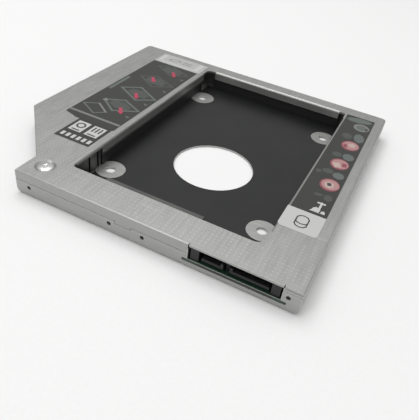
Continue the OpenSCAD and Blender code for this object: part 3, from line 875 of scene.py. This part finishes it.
# long label left of the window: fitting steps in slanted outline, each with an arrow
instructionArt = {
    "steps": [
        # ink, corners of the slanted outline, middle of its arrow
        ("tealInk", [(-45.5, 60.0), (-38.0, 64.6), (-28.2, 59.6), (-37.2, 53.6)], (-34.3, 55.4)),
        ("tealInk", [(-46.4, 74.3), (-39.4, 79.6), (-28.4, 73.0), (-35.0, 67.5)], (-36.8, 71.0)),
        ("dimInk", [(-46.2, 90.0), (-40.2, 94.6), (-29.0, 89.4), (-36.4, 83.4)], (-39.8, 90.2)),
        ("dimInk", [(-46.0, 105.9), (-39.8, 109.4), (-29.4, 104.6), (-35.8, 99.4)], (-35.2, 101.3)),
    ],
    "stepLine": 1.0,
    "shade": (11.5, 6.8),  # the dim patch inside each outline
    "firstPanel": [(-50.2, 52.0), (-44.8, 55.6), (-38.2, 50.8), (-42.0, 47.3)],
    "barsBelow": [
        # ink, middle, length along the label's width, width
        ("tealInk", (-50.0, 78.0), 1.5, 16.0),
        ("greyInk", (-39.45, 44.9), 23.8, 1.3),
        ("silverInk", (-39.45, 116.3), 24.1, 11.2),
        ("silverInk", (-27.1, 116.2), 1.6, 10.8),
    ],
    "whiteBars": [((-49.8, 116.6), 2.0, 7.6), ((-29.4, 116.6), 2.4, 8.4), ((-39.4, 112.6), 18.4, 1.3)],
    "greyBars": [((-36.2, 117.8), 5.2, 0.6), ((-36.2, 115.8), 5.2, 0.6)],
}


def printInstructionLabel():
    for key, corners, arrow in instructionArt["steps"]:
        inkPath(key, corners + corners[:1], instructionArt["stepLine"], level=1)
        x = sum(corner[0] for corner in corners) / 4
        y = sum(corner[1] for corner in corners) / 4
        inkShape("dimInk", 6, (x, y), instructionArt["shade"], -12)
        inkArrow(arrow)
        inkShape("tealInk", 3, (-29.3, corners[3][1] - 0.8), (2.0, 2.8), 60)
    panel = instructionArt["firstPanel"]
    inkPath("tealInk", panel + panel[:1], 0.7)
    inkLine("greyInk", (-44.8, 55.4), (-38.4, 50.8), 0.8, level=1)
    inkShape("greyInk", 3, (-45.0, 60.0), (3.2, 3.0), 20, level=2)
    for key, middle, length, width in instructionArt["barsBelow"]:
        inkBar(key, middle, length, width)
    for middle, length, width in instructionArt["whiteBars"]:
        inkBar("whiteInk", middle, length, width, level=1)
    inkShape("greyInk", 32, (-43.0, 117.0), (6.4, 3.2), 12, 0.5, level=1)
    for middle, length, width in instructionArt["greyBars"]:
        inkBar("greyInk", middle, length, width, level=1)


# small patch near the screw: a drive with its disc, a plug with its slots, above a row of blocks
patchArt = {
    "driveX": -39.3,
    "plugX": -32.1,
    "tile": (5.6, 7.6),
    "tileY": 35.4,
    "disc": (3.9, 3.9),
    "slotPitch": 1.5,
    "firstBlock": (-41.4, 28.0),
    "blockPitch": 2.38,
    "blocks": 6,
}


def printSymbolPatch():
    driveX, plugX, tileY = patchArt["driveX"], patchArt["plugX"], patchArt["tileY"]
    inkShape("whiteInk", 4, (driveX, tileY), patchArt["tile"])
    inkShape("darkInk", 32, (driveX, tileY + 0.8), patchArt["disc"], outline=0.7, level=1)
    inkBar("darkInk", (driveX, tileY - 2.8), 3.6, 0.7, level=1)
    inkShape("whiteInk", 4, (plugX, tileY), patchArt["tile"])
    for slot in (-1, 0, 1):
        inkBar("darkInk", (plugX + slot * patchArt["slotPitch"], tileY + 1.2), 0.7, 3.6, level=1)
    inkBar("darkInk", (plugX, tileY - 2.8), 3.6, 0.7, level=1)
    x, y = patchArt["firstBlock"]
    for index in range(patchArt["blocks"]):
        inkBar("whiteInk", (x + index * patchArt["blockPitch"], y), 1.4, 2.5)


# long label right of the window: a drum on white, then hints in rings and soft patches
procedureArt = {
    "drumCurves": [
        [(51.2, 28.4), (51.9, 27.5), (53.25, 27.1), (54.6, 27.5), (55.3, 28.4)],
        [(51.2, 30.0), (51.9, 29.3), (53.25, 29.0), (54.6, 29.3), (55.3, 30.0)],
        [(51.2, 32.2), (51.9, 33.2), (53.25, 33.6), (54.6, 33.2), (55.3, 32.2)],
    ],
    "drumSides": [[(51.2, 28.4), (51.2, 32.2)], [(55.3, 28.4), (55.3, 32.2)]],
    "drumLine": 0.45,
    "softPatches": [
        # ink, middle, size across and along
        ("dimInk", (57.3, 48.2), (3.4, 4.4)),
        ("dimInk", (53.6, 48.6), (3.6, 2.0)),
        ("dimInk", (49.2, 63.8), (2.6, 2.6)),
        ("dimInk", (52.4, 65.8), (4.6, 3.6)),
        ("tealInk", (56.8, 64.6), (4.6, 4.8)),
        ("dimInk", (52.2, 80.2), (4.4, 4.0)),
        ("tealInk", (56.8, 80.4), (4.8, 5.6)),
        ("dimInk", (52.0, 98.0), (4.6, 5.4)),
        ("tealInk", (57.0, 98.8), (4.6, 8.2)),
        ("tealInk", (53.6, 115.6), (11.8, 5.0)),
    ],
    "rings": [(55.5, 56.8), (55.0, 73.2), (55.2, 90.2)],
    "ringSize": (7.4, 8.4),
    "ringCentre": (6.6, 6.8),
    "inRings": [
        # ink, corners, middle, size, turn, level
        ("paleInk", 6, (55.4, 56.6), (3.9, 4.6), 15, 2),
        ("darkInk", 4, (55.3, 57.0), (1.5, 1.9), 20, 3),
        ("paleInk", 4, (54.2, 72.0), (2.8, 3.4), 30, 2),
        ("roseInk", 4, (56.9, 73.4), (1.8, 2.6), 10, 2),
        ("paleInk", 6, (55.8, 90.8), (3.2, 3.6), 0, 2),
        ("roseInk", 4, (53.4, 89.2), (1.4, 2.8), 15, 2),
    ],
}


def printWhiteFigures():
    # beyond the drum: a post with a crossbar, then two rounded shapes
    inkBar("whiteInk", (56.3, 42.0), 0.8, 3.6)
    inkBar("whiteInk", (56.2, 43.8), 3.0, 0.9)
    inkShape("whiteInk", 4, (56.2, 43.8), (1.2, 1.2), 45, level=1)
    inkShape("whiteInk", 3, (55.2, 39.0), (4.1, 4.2))
    inkShape("whiteInk", 24, (55.5, 39.4), (2.8, 2.6), level=1)
    inkShape("whiteInk", 3, (58.0, 38.7), (2.1, 2.6))
    inkShape("whiteInk", 24, (58.0, 38.9), (1.5, 1.5), level=1)


def printProcedureLabel():
    for curve in procedureArt["drumCurves"] + procedureArt["drumSides"]:
        inkPath("darkInk", curve, procedureArt["drumLine"], level=1)
    printWhiteFigures()
    for key, middle, size in procedureArt["softPatches"]:
        inkShape(key, 6 if size[0] < 4 else 8, middle, size, 10)
    inkShape("greyInk", 24, (55.8, 109.2), (7.0, 7.0), outline=1.3)
    inkShape("tealInk", 24, (55.8, 109.2), (4.6, 4.6))
    inkShape("darkInk", 24, (58.1, 108.8), (1.2, 2.6), level=1)
    for x, y in procedureArt["rings"]:
        inkShape("roseInk", 24, (x, y), procedureArt["ringSize"])
        inkShape("pinkInk", 24, (x + 0.2, y + 0.2), procedureArt["ringCentre"], level=1)
    for key, corners, middle, size, turn, level in procedureArt["inRings"]:
        inkShape(key, corners, middle, size, turn, level=level)


printInstructionLabel()
printSymbolPatch()
printProcedureLabel()
for key, shapes in printed.items():
    piece = joinPieces(shapes)
    settle(piece, "label_" + key, "label_dark", finishes[key])
print("label art done:", sum(len(shapes) for shapes in printed.values()), "shapes")


floorLook = {"size": 3.0, "tone": (0.82, 0.82, 0.82), "grain": (0.84, 0.84, 0.84)}
skyTones = [(0.0, 0.34), (0.3, 0.37), (0.65, 0.66), (1.0, 1.0)]  # height on the sky dome, its tone
lamps = [
    # name, place, size, power; both aim at the origin
    ("key_light", (-0.25, 0.15, 1.0), 0.8, 4.4),
    ("front_fill", (-0.28, -0.62, 0.73), 0.25, 1.2),
]


def makeFloor():
    bpy.ops.object.select_all(action="DESELECT")
    bpy.ops.mesh.primitive_plane_add(size=floorLook["size"], location=(0, 0, 0))
    floor = bpy.context.object
    floor.name = "studio_floor"
    material, tree, shader = startMaterial("studioFloor", Roughness=0.9, Specular_IOR_Level=0.1)
    paper = placeGroup(tree, fineGrain, Scale=900.0, Detail=2.0)
    colour = blendColours(tree, paper.outputs["Tone"], floorLook["tone"], floorLook["grain"])
    join(tree, colour, shader.inputs["Base Color"])
    floor.data.materials.append(material)


def makeSky():
    world = bpy.data.worlds.new("studioWorld")
    world.use_nodes = True
    tree = world.node_tree
    direction = addNode(tree, "ShaderNodeTexCoord")
    heights = addNode(tree, "ShaderNodeSeparateXYZ")
    ramp = addNode(tree, "ShaderNodeValToRGB")
    join(tree, direction.outputs["Generated"], heights.inputs["Vector"])
    join(tree, heights.outputs["Z"], ramp.inputs["Fac"])
    while len(ramp.color_ramp.elements) < len(skyTones):
        ramp.color_ramp.elements.new(0.5)
    for element, (height, tone) in zip(ramp.color_ramp.elements, skyTones):
        element.position = height
        element.color = (tone, tone, tone * 0.995, 1.0)
    join(tree, ramp.outputs["Color"], tree.nodes["Background"].inputs["Color"])
    bpy.context.scene.world = world


def makeLamps():
    for name, place, size, power in lamps:
        data = bpy.data.lights.new(name, "AREA")
        data.shape = "DISK"
        data.size = size
        data.energy = power
        lamp = bpy.data.objects.new(name, data)
        bpy.context.scene.collection.objects.link(lamp)
        lamp.location = place
        lamp.rotation_mode = "QUATERNION"
        lamp.rotation_quaternion = (-Vector(place)).to_track_quat("-Z", "Y")


cameraSettings = {
    "azimuth": 0.363044,  # angles in radians
    "elevation": 0.6681775,
    "roll": 0.1550876,
    "place": (0.070182, -0.162715, 0.108983),
    "lens": 42.466,
}


def makeCamera():
    azimuth, elevation, roll = (cameraSettings[key] for key in ("azimuth", "elevation", "roll"))
    ground, rise = math.cos(elevation), math.sin(elevation)
    back = Vector((math.sin(azimuth) * ground, -math.cos(azimuth) * ground, rise))
    right = Vector((math.cos(azimuth), math.sin(azimuth), 0))
    up = back.cross(right)
    across = math.cos(roll) * right + math.sin(roll) * up
    upright = -math.sin(roll) * right + math.cos(roll) * up
    data = bpy.data.cameras.new("camera")
    data.sensor_width = 36
    data.lens = cameraSettings["lens"]
    data.clip_start, data.clip_end = 0.01, 10
    camera = bpy.data.objects.new("camera", data)
    bpy.context.scene.collection.objects.link(camera)
    facing = Matrix((across, upright, back)).transposed().to_4x4()
    camera.matrix_world = Matrix.Translation(cameraSettings["place"]) @ facing
    bpy.context.scene.camera = camera


makeFloor()
makeSky()
makeLamps()
makeCamera()
bpy.context.scene.view_settings.view_transform = "Standard"
print("stage done")
